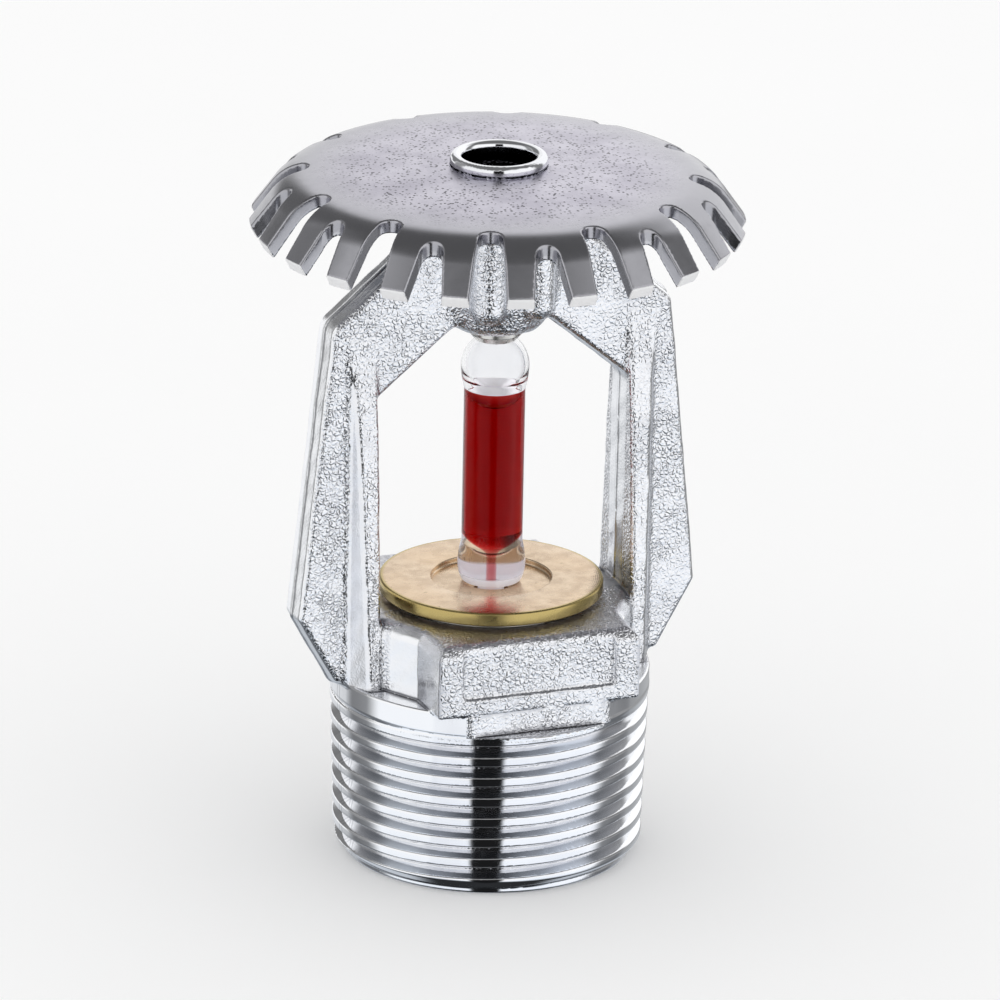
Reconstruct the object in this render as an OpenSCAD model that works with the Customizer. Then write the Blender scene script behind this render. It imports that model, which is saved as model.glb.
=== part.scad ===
// Upright fire sprinkler head with a glass bulb, a toothed deflector and an R3/4 taper inlet thread.
// Millimetres. The origin is the centre of the inlet face, +Z points to the deflector,
// and the two frame arms lie along +X and -X.

/* [Inlet nipple] */
// Radius of the thread crests at the inlet face
inlet_crest_r = 12.92; // [12.8:0.01:13.0]
// Distance from one thread crest to the next
thread_pitch = 1.814; // [1.75:0.001:1.85]
// Depth of the thread from crest to root
thread_depth = 1.0; // [0.9:0.02:1.2]
// Number of thread crests
thread_crests = 7; // [5:1:7]
// Radius of the plain shoulder above the thread
shoulder_r = 13.4; // [13.36:0.01:13.5]
// Height of the underside of the shoulder
shoulder_z = 14.3; // [14.2:0.1:14.6]
// Radius of the waterway at the inlet
inlet_bore_r = 9.75; // [9:0.05:10.2]
// Radius of the orifice under the valve cap
orifice_r = 6.75; // [6.2:0.05:7]

/* [Wrench boss] */
// Distance across the two wrench flats
flat_across = 24; // [23:0.1:24.4]
// Width of each wrench flat
flat_w = 17.7; // [16:0.1:18]
// Height of the underside of the boss
boss_z = 16.1; // [15.9:0.1:16.6]
// Height of the top of the boss
boss_top_z = 22.3; // [22:0.1:22.4]
// Distance of the four corner facets from the axis
facet_apothem = 11.6; // [11.2:0.1:12]

/* [Frame arms] */
// Distance of the window's side from the axis
window_x = 11.1; // [10.6:0.1:11.3]
// Thickness of the arm webs
web_t = 3.7; // [3:0.1:4.2]
// Distance of the outer edge from the axis at its lower bend
arm_low_x = 17.7; // [17:0.1:18.5]
// Height of the lower bend
arm_low_z = 22.2; // [21.5:0.1:23]
// Distance of the outer edge from the axis at its upper bend
arm_high_x = 15.05; // [14.6:0.05:15.6]
// Height of the upper bend
arm_high_z = 47.5; // [46.5:0.1:48.2]
// Width of the stiffening rib at the boss, across both faces
rib_w_low = 8.8; // [8:0.1:9.4]
// Width of the stiffening rib at its upper end
rib_w_high = 4.6; // [4.2:0.1:5]

/* [Knuckle] */
// Height of the underside of the knuckle
knuckle_z = 46; // [45.8:0.1:46.2]
// Radius of the knuckle's underside
knuckle_low_r = 3.5; // [3.4:0.05:3.7]
// Radius of the knuckle under the deflector
knuckle_high_r = 5.4; // [5.1:0.1:5.8]
// Radius of the spigot that holds the deflector
spigot_r = 3.95; // [3.8:0.05:4.2]

/* [Deflector] */
// Radius over the tips of the tines
deflector_r = 20.6; // [20:0.05:21]
// Thickness of the sheet
sheet_t = 1.15; // [1:0.05:1.5]
// Number of tines
tines = 24; // [20:2:28]
// Slope of the tines below the horizontal, in degrees
tine_slope = 54; // [45:1:56]
// Radius of the inner end of the deep slots
deep_slot_r = 15.7; // [14.6:0.1:16.4]
// Radius of the inner end of the shallow slots
shallow_slot_r = 17.5; // [16.6:0.1:18]

/* [Glass bulb] */
// Radius of the bulb's column
bulb_r = 2.5; // [2.4:0.05:2.6]
// Radius of the ball at each end of the bulb
ball_r = 2.85; // [2.75:0.05:2.95]
// Height of the centre of the lower ball
ball_low_z = 25; // [24.9:0.05:25.1]
// Height of the centre of the upper ball
ball_high_z = 42.4; // [42.3:0.05:42.5]
// Radius of the bulb's hollow
hollow_r = 2.1; // [1.9:0.05:2.15]
// Radius of the capillary in the lower ball
capillary_r = 0.4; // [0.3:0.05:0.6]
// Height of the liquid's surface
liquid_z = 40; // [38:0.5:40.5]

/* [Valve cap] */
// Radius of the cap's disc
cap_r = 9.38; // [9.2:0.02:9.6]
// Thickness of the cap's disc
cap_t = 1.15; // [1.1:0.05:1.2]
// Height of the top of the cap's disc
cap_top_z = 23.8; // [23.75:0.05:23.85]
// Radius of the shallow recess in the cap's disc
cap_recess_r = 5.05; // [4.8:0.05:5.3]

/* [Load screw] */
// Radius over the screw's thread
screw_r = 2.98; // [2.9:0.01:3]
// Pitch of the screw's thread
screw_pitch = 1; // [0.8:0.1:1]
// Length of the threaded body
screw_len = 11; // [9:0.5:12]

/* [Hidden] */
$fn = 96;
eps = 0.01;
running_gap = 0.05;

// Pipe thread: the crest radius grows by 1 in 32 with height.
taper = 1 / 32;
crest_flat = 0.4 * thread_pitch;
first_crest_z = 1.25;

// A short plain pilot leads into the first crest.
pilot_step = 0.82;
pilot_len = 0.45;
pilot_edge = 0.25;

// Waterway
inlet_bore_len = 9;
orifice_low_z = 14;
inlet_chamfer = 0.6;

// Seat: the disc spring lies on a land in a counterbore.
cap_under_z = cap_top_z - cap_t;
film_t = 0.08;
spring_t = 0.5;
spring_rise = 0.2;
seal_stack = 2 * film_t + spring_t + spring_rise;
land_z = cap_under_z - seal_stack;
spring_r = 8.3;
spring_hole_r = 4.75;
seat_r = spring_r + 0.3;

// Wrench boss
flat_y = flat_across / 2;
flat_x = flat_w / 2;
facet_angle = 30;
facet_to_flat = 1.9;
facet_to_arm = 2.9;
panel_w = 13.4;
panel_h = 4.4;
panel_z = 17.6;
panel_depth = 0.35;

// Arms, in the XZ plane
arm_foot_x = 14.3;
arm_foot_z = 16.2;
slant_end_x = 5.2;
slant_end_z = 55.9;
window_top_z = 40.7;
under_end_x = 3.4;
under_end_z = 47.2;
web_in_x = 1;
web_in_z = 48.7;
web_root = 1.5;
web_dip = 0.5;
window_top_x = window_x + 0.1;
rib_foot_z = 15.8;
rib_end_z = 47;
rib_front_x = 12.2;
rib_back_x = 13.4;
rib_over = 0.5;

// Knuckle and spigot
deflector_top_z = 59.9;
spigot_top_z = 60.85;
rim_r = 4.15;
rim_low_z = deflector_top_z + 0.02;
rim_side = 0.33;
rim_round_r = 3.65;
hole_r = screw_r + running_gap;
lobe_r = 1.45;
lobe_spread = 62;
lobe_axis_r = 4.5;
lobe_low_z = 47.4;
knuckle_edge = 0.6;
knuckle_waist_r = 4.7;
knuckle_waist_z = 48.6;
seat_gap = 0.01;

// Deflector profile: a shallow dome, then a bend, then straight tines. The knuckle ends just under it.
hub_r = spigot_r + running_gap;
dome_r = 190;
bend_start_r = 15.6;
bend_r = 4.5;
bend_start_slope = asin(bend_start_r / dome_r);
dome_steps = 6;
bend_steps = 10;
slot_w_in = 2.0;
slot_w_out = 3.2;
knuckle_top_z = dome_point(lobe_axis_r + lobe_r, sheet_t)[1] - seat_gap;

// Bulb
hollow_low_z = 27.3;
capillary_top_z = 25.6;
capillary_low_z = 22.4;
pip_r = 1.1;
pip_z = 21.9;
bulb_wall = bulb_r - hollow_r;
liquid_gap = 0.01;

// Valve cap
cap_edge = 0.22;
cap_recess_depth = 0.42;
neck_edge = 0.4;
cap_neck_r = spring_hole_r - 0.1;
cap_neck_z = 20.2;
pip_hole_r = 1.5;
pip_hole_z = 21.3;

// Load screw
screw_low_z = 46;
tip_wide_r = 2.2;
tip_narrow_r = 1.7;
tip_z = 44.7;
tip_neck_z = 45.3;
screw_root_r = screw_r - 0.55 * screw_pitch;
first_ridge = 0.7;
ridge_foot = 0.45;
ridge_crest = 0.08;
socket_across = 3;
socket_depth = 3;
cup_gap = 0.005;

function crest_at(z) = inlet_crest_r + z * taper;
function root_at(z) = crest_at(z) - thread_depth;

// Points of one thread ridge, from the root below it to the end of its crest
function ridge(z) = [
    [root_at(z - thread_pitch / 2), z - thread_pitch / 2],
    [crest_at(z - crest_flat / 2), z - crest_flat / 2],
    [crest_at(z + crest_flat / 2), z + crest_flat / 2]
];

// Repeats its children on both sides of the YZ plane.
module both_arms() {
    children();
    mirror([1, 0, 0])
        children();
}

module nipple() {
    pilot_r = inlet_crest_r - pilot_step;
    entry_z = pilot_len + pilot_step;
    first_end_z = first_crest_z + crest_flat / 2;
    last_z = first_crest_z + (thread_crests - 1) * thread_pitch;
    ridges = [for (i = [1 : thread_crests - 1]) each ridge(first_crest_z + i * thread_pitch)];
    rotate_extrude()
        polygon(concat(
            [
                [0, 0],
                [pilot_r - pilot_edge, 0],
                [pilot_r, pilot_edge],
                [pilot_r, pilot_len],
                [crest_at(entry_z), entry_z],
                [crest_at(first_end_z), first_end_z]
            ],
            ridges,
            [
                [root_at(last_z + thread_pitch / 2), last_z + thread_pitch / 2],
                [shoulder_r, shoulder_z],
                [shoulder_r, boss_z + 0.2],
                [0, boss_z + 0.2]
            ]
        ));
}

// Plan of the boss: two wide flats joined by facets.
module boss_plan() {
    facet_in = facet_apothem * [cos(facet_angle), sin(facet_angle)];
    along = [sin(facet_angle), -cos(facet_angle)];
    quarter = [[flat_x, flat_y], facet_in - facet_to_flat * along, facet_in + facet_to_arm * along];
    right_side = concat(quarter, [for (i = [2 : -1 : 0]) [quarter[i][0], -quarter[i][1]]]);
    left_side = [for (p = right_side) [-p[0], -p[1]]];
    polygon(concat(right_side, left_side));
}

module wrench_boss() {
    translate([0, 0, boss_z])
        linear_extrude(boss_top_z - boss_z)
            boss_plan();
}

// Cuts the shoulder back to the plane of the wrench flats.
module flat_cut() {
    cut_y = shoulder_r - flat_y + 1;
    for (side = [-1, 1])
        translate([-shoulder_r, side > 0 ? flat_y : -flat_y - cut_y, shoulder_z - eps])
            cube([2 * shoulder_r, cut_y, boss_z - shoulder_z + 1]);
}

// A blank sunk panel on each wrench flat
module panel_cut() {
    for (side = [-1, 1])
        translate([-panel_w / 2, side > 0 ? flat_y - panel_depth : -flat_y - 1, panel_z])
            cube([panel_w, 1 + panel_depth, panel_h]);
}

module web() {
    rotate([90, 0, 0])
        translate([0, 0, -web_t / 2])
            linear_extrude(web_t)
                polygon([
                    [window_x - web_root, arm_foot_z],
                    [arm_foot_x, arm_foot_z],
                    [arm_low_x, arm_low_z],
                    [arm_high_x, arm_high_z],
                    [slant_end_x, slant_end_z],
                    [web_in_x, slant_end_z],
                    [web_in_x, web_in_z],
                    [under_end_x, under_end_z],
                    [window_top_x, window_top_z],
                    [window_x, boss_top_z],
                    [window_x - web_root, boss_top_z - web_dip]
                ]);
}

// The rib is a ridge along the window's side that narrows upwards.
module rib() {
    reach = rib_w_low / 2 + rib_over;
    slope = (rib_back_x - rib_front_x) / (rib_w_low / 2 - web_t / 2);
    intersection() {
        translate([0, 0, rib_foot_z])
            linear_extrude(rib_end_z - rib_foot_z)
                polygon([
                    [window_x, -reach],
                    [rib_front_x - rib_over * slope, -reach],
                    [rib_back_x, -web_t / 2],
                    [rib_back_x, web_t / 2],
                    [rib_front_x - rib_over * slope, reach],
                    [window_x, reach]
                ]);
        rotate([90, 0, 90])
            linear_extrude(20)
                polygon([
                    [-rib_w_low / 2, rib_foot_z],
                    [rib_w_low / 2, rib_foot_z],
                    [rib_w_high / 2, rib_end_z],
                    [-rib_w_high / 2, rib_end_z]
                ]);
    }
}

module knuckle() {
    rotate_extrude()
        polygon([
            [0, knuckle_z],
            [knuckle_low_r, knuckle_z],
            [knuckle_low_r + knuckle_edge, knuckle_z + knuckle_edge],
            [knuckle_waist_r, knuckle_waist_z],
            [knuckle_high_r, slant_end_z],
            [knuckle_high_r, knuckle_top_z],
            [spigot_r, knuckle_top_z],
            [spigot_r, rim_low_z],
            [rim_r, rim_low_z],
            [rim_r, rim_low_z + rim_side],
            [rim_round_r, spigot_top_z],
            [0, spigot_top_z]
        ]);
    for (angle = [lobe_spread, -lobe_spread, 180 - lobe_spread, 180 + lobe_spread])
        rotate([0, 0, angle])
            translate([lobe_axis_r, 0, lobe_low_z]) {
                sphere(r = lobe_r);
                cylinder(r = lobe_r, h = knuckle_top_z - lobe_low_z);
            }
}

module waterway() {
    rotate_extrude()
        polygon([
            [0, -1],
            [inlet_bore_r + inlet_chamfer + 1, -1],
            [inlet_bore_r, inlet_chamfer],
            [inlet_bore_r, inlet_bore_len],
            [orifice_r, orifice_low_z],
            [orifice_r, land_z],
            [seat_r, land_z],
            [seat_r, boss_top_z + 1],
            [0, boss_top_z + 1]
        ]);
}

module frame() {
    color("silver")
        difference() {
            union() {
                nipple();
                wrench_boss();
                both_arms() web();
                both_arms() rib();
                knuckle();
            }
            flat_cut();
            panel_cut();
            waterway();
            translate([0, 0, knuckle_z - 1])
                cylinder(r = hole_r, h = spigot_top_z - knuckle_z + 2);
        }
}

// Upper surface of the deflector as [radius, height], lowered by depth square to the surface
function dome_point(r, depth) =
    let (slope = asin(r / dome_r))
    [r - depth * sin(slope), deflector_top_z - dome_r * (1 - cos(slope)) - depth * cos(slope)];

function bend_point(slope, depth) =
    let (start = dome_point(bend_start_r, 0))
    [
        start[0] + bend_r * (sin(slope) - sin(bend_start_slope)) - depth * sin(slope),
        start[1] - bend_r * (cos(bend_start_slope) - cos(slope)) - depth * cos(slope)
    ];

function tip_point(depth) =
    let (end = bend_point(tine_slope, 0), run = deflector_r - end[0])
    [
        deflector_r - depth * sin(tine_slope),
        end[1] - run * tan(tine_slope) - depth * cos(tine_slope)
    ];

function sheet_side(depth) = concat(
    [for (i = [0 : dome_steps])
        dome_point(hub_r + (bend_start_r - hub_r) * i / dome_steps, depth)],
    [for (i = [1 : bend_steps])
        bend_point(bend_start_slope + (tine_slope - bend_start_slope) * i / bend_steps, depth)],
    [tip_point(depth)]
);

function reversed(list) = [for (i = [len(list) - 1 : -1 : 0]) list[i]];

// A slot along +X that opens outwards from a round inner end
module slot(inner_r) {
    translate([0, 0, 45])
        linear_extrude(20) {
            translate([inner_r + slot_w_in / 2, 0])
                circle(d = slot_w_in);
            polygon([
                [inner_r + slot_w_in / 2, -slot_w_in / 2],
                [deflector_r + 1, -slot_w_out / 2],
                [deflector_r + 1, slot_w_out / 2],
                [inner_r + slot_w_in / 2, slot_w_in / 2]
            ]);
        }
}

module deflector() {
    step = 360 / tines;
    color("lightslategray")
        difference() {
            rotate_extrude()
                polygon(concat(sheet_side(0), reversed(sheet_side(sheet_t))));
            translate([0, 0, 50])
                cylinder(r = hub_r, h = 20);
            for (i = [0 : tines - 1])
                rotate([0, 0, (i + 0.5) * step])
                    slot(i % 2 == 0 ? deep_slot_r : shallow_slot_r);
        }
}

// Socket set screw with a cupped tip that bears on the bulb
module load_screw() {
    ridges = floor(screw_len / screw_pitch) - 1;
    top_z = screw_low_z + screw_len;
    first_z = screw_low_z + first_ridge;
    color("darkgray")
        difference() {
            rotate_extrude()
                polygon(concat(
                    [
                        [0, tip_z],
                        [tip_narrow_r, tip_z],
                        [tip_wide_r, tip_neck_z],
                        [tip_wide_r, screw_low_z],
                        [screw_root_r, screw_low_z]
                    ],
                    [for (i = [0 : ridges - 1]) each [
                        [screw_root_r, first_z + (i - ridge_foot) * screw_pitch],
                        [screw_r, first_z + (i - ridge_crest) * screw_pitch],
                        [screw_r, first_z + (i + ridge_crest) * screw_pitch],
                        [screw_root_r, first_z + (i + ridge_foot) * screw_pitch]
                    ]],
                    [[screw_root_r, top_z], [0, top_z]]
                ));
            translate([0, 0, ball_high_z])
                sphere(r = ball_r + cup_gap);
            translate([0, 0, top_z - socket_depth])
                cylinder(d = socket_across / cos(30), h = socket_depth + 1, $fn = 6);
        }
}

module bulb_hollow(gap, top_z) {
    rotate_extrude()
        polygon([
            [0, capillary_low_z + gap],
            [capillary_r - gap, capillary_low_z + gap],
            [capillary_r - gap, capillary_top_z],
            [hollow_r - gap, hollow_low_z],
            [hollow_r - gap, top_z],
            [0, top_z]
        ]);
}

module bulb_glass() {
    color([1, 0.9, 0.9, 0.4])
        difference() {
            union() {
                translate([0, 0, ball_low_z])
                    sphere(r = ball_r);
                translate([0, 0, ball_high_z])
                    sphere(r = ball_r);
                translate([0, 0, ball_low_z])
                    cylinder(r = bulb_r, h = ball_high_z - ball_low_z);
                translate([0, 0, pip_z])
                    cylinder(r = pip_r, h = ball_low_z - pip_z);
            }
            bulb_hollow(0, ball_high_z);
            translate([0, 0, ball_high_z])
                sphere(r = ball_r - bulb_wall);
        }
}

module bulb_liquid() {
    color("crimson")
        bulb_hollow(liquid_gap, liquid_z);
}

// Turned brass cap: a disc over a neck that guides the disc spring
module valve_cap() {
    color("goldenrod")
        difference() {
            rotate_extrude()
                polygon([
                    [0, cap_neck_z],
                    [cap_neck_r - neck_edge, cap_neck_z],
                    [cap_neck_r, cap_neck_z + neck_edge],
                    [cap_neck_r, cap_under_z],
                    [cap_r - cap_edge, cap_under_z],
                    [cap_r, cap_under_z + cap_edge],
                    [cap_r, cap_top_z - cap_edge],
                    [cap_r - cap_edge, cap_top_z],
                    [cap_recess_r, cap_top_z],
                    [cap_recess_r, cap_top_z - cap_recess_depth],
                    [0, cap_top_z - cap_recess_depth]
                ]);
            translate([0, 0, pip_hole_z])
                cylinder(r = pip_hole_r, h = 5);
            translate([0, 0, ball_low_z])
                sphere(r = ball_r + cup_gap);
        }
}

// A conical ring whose outer edge is low, from inner_r to outer_r
module cone_ring(low_z, thick, inner_r, outer_r) {
    rise = spring_rise * (outer_r - inner_r) / (spring_r - spring_hole_r);
    start = spring_rise * (spring_r - outer_r) / (spring_r - spring_hole_r);
    rotate_extrude()
        polygon([
            [inner_r, low_z + start + rise],
            [outer_r, low_z + start],
            [outer_r, low_z + start + thick],
            [inner_r, low_z + start + rise + thick]
        ]);
}

module disc_spring() {
    color("gray")
        cone_ring(land_z + film_t, spring_t, spring_hole_r, spring_r);
}

module seal_film_upper() {
    color("white")
        cone_ring(land_z + film_t + spring_t, film_t, spring_hole_r, spring_r - 0.1);
}

module seal_film_lower() {
    color("ivory")
        cone_ring(land_z, film_t, spring_hole_r + 0.1, spring_r);
}

frame();
deflector();
load_screw();
bulb_glass();
bulb_liquid();
valve_cap();
disc_spring();
seal_film_upper();
seal_film_lower();
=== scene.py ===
from math import acos, asin, cos, pi, radians, sin, sqrt, tan

import bpy
import numpy as np
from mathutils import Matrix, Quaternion, Vector


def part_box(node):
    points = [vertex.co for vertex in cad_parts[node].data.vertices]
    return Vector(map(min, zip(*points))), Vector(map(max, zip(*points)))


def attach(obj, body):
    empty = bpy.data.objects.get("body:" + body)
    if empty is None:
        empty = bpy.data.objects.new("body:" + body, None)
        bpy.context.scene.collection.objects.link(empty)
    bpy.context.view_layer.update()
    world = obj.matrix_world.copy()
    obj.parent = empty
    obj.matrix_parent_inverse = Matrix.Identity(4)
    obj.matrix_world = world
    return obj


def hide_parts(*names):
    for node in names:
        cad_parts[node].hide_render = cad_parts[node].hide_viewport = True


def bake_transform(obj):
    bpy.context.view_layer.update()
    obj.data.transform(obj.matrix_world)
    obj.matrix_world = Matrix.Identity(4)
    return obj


# Looks of an upright glass-bulb fire sprinkler head. Shapes are worked out in millimetres, from the
# boxes of the CAD nodes where they give a size, and written to the meshes in metres.

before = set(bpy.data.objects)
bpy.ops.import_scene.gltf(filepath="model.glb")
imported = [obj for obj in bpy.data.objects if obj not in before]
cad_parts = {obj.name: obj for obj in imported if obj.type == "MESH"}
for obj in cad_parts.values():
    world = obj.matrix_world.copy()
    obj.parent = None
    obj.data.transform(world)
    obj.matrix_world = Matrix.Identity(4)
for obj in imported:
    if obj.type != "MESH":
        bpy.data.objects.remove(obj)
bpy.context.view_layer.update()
MM = 0.001


def node_box(node):
    low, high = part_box(node)
    return np.array(low) / MM, np.array(high) / MM


FRAME_LOW, FRAME_HIGH = node_box("frame")
DEFLECTOR_LOW, DEFLECTOR_HIGH = node_box("deflector")
SCREW_LOW, SCREW_HIGH = node_box("load_screw")
GLASS_LOW, GLASS_HIGH = node_box("bulb_glass")
CAP_LOW, CAP_HIGH = node_box("valve_cap")
SPRING_HIGH = node_box("disc_spring")[1]
FILM_LOW = node_box("seal_film_lower")[0]

# Inlet nipple, an R3/4 taper thread under a plain shoulder
PITCH = 25.4 / 14
CREST_R = 12.92
TAPER = 1 / 32
THREAD_DEPTH = 1.0
CREST_HALF = 0.36
PIPE_FLANK = radians(27.5)
THREAD_START = 1.8
THREAD_EDGE = 0.1
THREAD_RUN_ON = 0.5
SHOULDER_R = FRAME_HIGH[1]
SHOULDER_Z = 14.3
SHOULDER_ROUND = 0.2
PILOT_STEP = 0.82
PILOT_LEN = 0.45
PILOT_HALF = 1.0
PILOT_EDGE = 0.25
INLET_R = 9.75
INLET_LEN = 9.0
ORIFICE_R = 6.75
ORIFICE_Z = 14.0
LAND_Z = FILM_LOW[2]
SEAT_R = SPRING_HIGH[0] + 0.3
BORE_TOP = 30.0

# The frame is meshed as a nipple and a casting that overlap by PART_LAP either side of PART_Z
PART_Z = 13.95
PART_LAP = 0.15

# Wrench boss
FLAT_Y = 12.0
FLAT_X = 8.85
BOSS_Z = 16.1
BOSS_TOP = 22.3
BOSS_ROUND = 0.4
BOSS_CHAMFER = 0.8
CHAMFER_SOFT = 0.25
FACET_APOTHEM = 11.6
FACET_ANGLE = radians(30)
FACET_TO_FLAT = 1.9
FACET_TO_ARM = 2.9
PANEL_X = 6.7
PANEL_LOW = 17.6
PANEL_TOP = 22.0
PANEL_DEPTH = 0.35
PANEL_CORNER = 0.5
PANEL_RIM = 0.2
CAST_FLAT = 0.12

# Arms
ARM_LOW = (14.3, 16.2)
ARM_X = FRAME_HIGH[0]
ARM_BEND_Z = 22.2
ARM_HIGH = (15.05, 47.5)
ARM_TOP = (5.2, 55.9)
WINDOW_X = 11.1
WINDOW_TOP = 40.7
WINDOW_PEAK = (3.4, 47.2)
WEB_HALF = 1.85
WEB_ROUND = 0.45
WEB_DRAFT = 0.09
PARTING_H = 0.1
PARTING_W = 0.22
PARTING_REACH = 1.5
RIB_LOW = 4.4
RIB_HIGH = 2.3
RIB_FRONT = 12.2
RIB_BACK = 13.4
RIB_Z = (15.8, 47.0)
RIB_FADE_Z = 45.2
RIB_FADE = 0.2
RIB_ROUND = 0.4
RIB_EDGE = 0.35
RIB_END = 0.8
RIB_RUN = RIB_BACK - RIB_FRONT
RIB_RISE = RIB_LOW - WEB_HALF
RIB_SIDE = sqrt(RIB_RUN * RIB_RUN + RIB_RISE * RIB_RISE)

# How softly the parts of the casting run into each other, and its unevenness as (height, size, shift)
ARM_BLEND = 0.6
KNUCKLE_BLEND = 0.9
CAST_RIPPLES = ((0.035, 5.5, 1.3), (0.02, 2.3, 0.4))

# Knuckle, spigot and rim
KNUCKLE_Z = 46.0
KNUCKLE_TOP = 58.15
SPIGOT_R = 3.95
RIM_R = 4.08
HOLE_R = 3.03
HOLE_MOUTH = 0.6
HOLE_Z = 42.0
LOBE_R = 1.45
LOBE_AXIS = 4.5
LOBE_LOW = 47.4
LOBE_ANGLE = radians(62)

# Load screw
SCREW_PITCH = 1.0
SCREW_DEPTH = 0.55
SCREW_CREST_HALF = 0.08
SCREW_FLANK = radians(30)
SCREW_EDGE = 0.06
SCREW_THREAD_Z = 46.0
SCREW_TIP_R = 2.2
SCREW_TIP_FACE_R = 1.7
SCREW_TIP_Z = 45.3
HEX_APOTHEM = 1.5
HEX_DEPTH = 3

# Deflector
TINES = 24
SHEET_T = 1.15
HUB_R = 4.0
TIP_R = DEFLECTOR_HIGH[0]
DOME_TOP = 59.9
DOME_R = 190.0
BEND_R = 4.5
BEND_START = 15.6
TINE_SLOPE = radians(54)
DEEP_SLOT = 15.7
SHALLOW_SLOT = 17.5
SLOT_IN = 1.0
SLOT_OUT = 1.6
SHEET_ROUND = 0.16
TIP_FACE = radians(30)

# Bulb
BALL_R = GLASS_HIGH[0]
BULB_R = 2.55
NECK_BLEND = 0.7
CROWN = 0.3
GLASS_FLOOR = 23.1
FLOOR_CURVE = 0.5
FOOT_REFLECTION_TOP = 24.3
BALL_LOW_Z = 25.0
BALL_HIGH_Z = GLASS_HIGH[2] - BALL_R
PIP_R = 1.1
HOLLOW_R = 2.1
CAPILLARY_R = 0.29
CAPILLARY_LOW = 22.4
FLARE = (25.6, 28.15)
WALL = 0.4
LIQUID_TOP = 40.45
MENISCUS = 1.6
DIMPLE_R = 0.95
WALL_GAP = 0.01

# How far a sculpted piece looks out into hollows, for their painted shade, and in from corners, for their
# darker or lighter colours
SIGHT = 0.5
CORNER = 0.35

# Valve cap and disc spring
CAP_T = 1.15
RECESS_R = 5.05
RECESS_DEPTH = 0.42
NECK_R = 4.65
PIP_HOLE_R = 1.5
PIP_HOLE_Z = 21.3
SPRING_HOLE = 4.75
SPRING_RISE = 0.2
FILM_STEP = 0.1

# Colours, as linear red, green and blue
CHROME = (0.90, 0.91, 0.94)
CHROME_TARNISH = (0.74, 0.75, 0.79)
# painted highlight for the boss facets and the arms' edge faces
CHROME_PAINTED_SHEEN = (0.97, 0.98, 1.0)
CHROME_EDGE = (0.93, 0.94, 0.96)
# painted dark reflection for the casting's corners
CAST_CORNER_DARK_REFLECTION = (0.22, 0.23, 0.27)
# painted shade for the creases of the stipple
CAST_CREASE_SHADE = (0.16, 0.16, 0.19)
CAST_SEAM = (0.35, 0.36, 0.40)
BOSS_TOP_SHADE = (0.40, 0.39, 0.45)
# painted shade for the frame's hollows
HOLLOW_SHADE = (0.10, 0.10, 0.12)
# painted shade for the inside of the screw hole
SCREW_HOLE_SHADE = (0.03, 0.03, 0.035)
SATIN = ((0.66, 0.64, 0.72), (0.52, 0.50, 0.58))
SPECK = (0.05, 0.05, 0.06)
# painted shade: darker grey for the tines where the sheet bends down
TINE_BEND_SHADE = ((0.40, 0.40, 0.43), (0.48, 0.48, 0.51))
TINE_TIP = (0.92, 0.92, 0.93)
TINE_EDGE = (0.85, 0.85, 0.87)
BRASS_FACE = ((0.80, 0.63, 0.45), (0.64, 0.48, 0.33))
BRASS_WARM = (0.80, 0.60, 0.40)
BRASS_SPOT = (0.36, 0.26, 0.15)
# painted shade: a darker, yellower rim on the cap
BRASS_RIM_SHADE = (0.55, 0.43, 0.17)
STEEL = ((0.72, 0.71, 0.68), (0.42, 0.41, 0.39))
STEEL_EDGE = (0.9, 0.9, 0.88)
NICKEL = ((0.74, 0.73, 0.70), (0.58, 0.57, 0.54))
FILM_WHITE = ((0.92, 0.92, 0.90), (0.82, 0.82, 0.79))
GLASS = ((0.97, 0.97, 0.98), (0.92, 0.93, 0.95))
# painted reflection: white for the bulb's foot, with a painted glow
FOOT_REFLECTION_WHITE = (0.95, 0.93, 0.98)
FOOT_REFLECTION_GLOW = (0.95, 0.93, 1.0)
WETTED = ((1.0, 0.99, 0.99), (0.98, 0.96, 0.96))
LIQUID = ((1.0, 1.0, 1.0), (0.97, 0.94, 0.94))
DYE = (0.83, 0.02, 0.05)
# Liquid surface: painted shade in the middle and a painted highlight ring below, a painted pale reflection
# above
SURFACE_DARK_SHADE = (0.04, 0.0, 0.002)
SURFACE_RED = (0.85, 0.06, 0.05)
SURFACE_HIGHLIGHT_RING = (1.0, 0.25, 0.08)
SURFACE_PAINTED_REFLECTION = ((0.86, 0.84, 0.86), (0.80, 0.78, 0.80))
PAPER = ((0.965, 0.965, 0.965), (0.985, 0.985, 0.985))
SKY_BELOW = (0.86, 0.92, 1.0)

# Camera, as a compass bearing round the object, a height above the horizon and a roll
CAMERA_AZIMUTH = radians(-20.58)
CAMERA_ELEVATION = radians(19.99)
CAMERA_ROLL = radians(1.1)
CAMERA_DISTANCE = 0.963
CAMERA_TARGET = Vector((0, 0, 0.028))
CAMERA_LENS = 416.1
CAMERA_SHIFT = (0.008, 0.0277)


# ---- Distance functions: negative inside, in millimetres ----

def smooth_max(a, b, blend):
    over = np.clip(0.5 + 0.5 * (a - b) / blend, 0, 1)
    return b + (a - b) * over + blend * over * (1 - over)


def smooth_min(a, b, blend):
    return -smooth_max(-a, -b, blend)


def rounded(a, b, radius):
    """The part of space inside both a and b, with the edge between them rounded."""
    out_a = np.maximum(a + radius, 0)
    out_b = np.maximum(b + radius, 0)
    return np.minimum(np.maximum(a, b) + radius, 0) + np.sqrt(out_a * out_a + out_b * out_b) - radius


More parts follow.
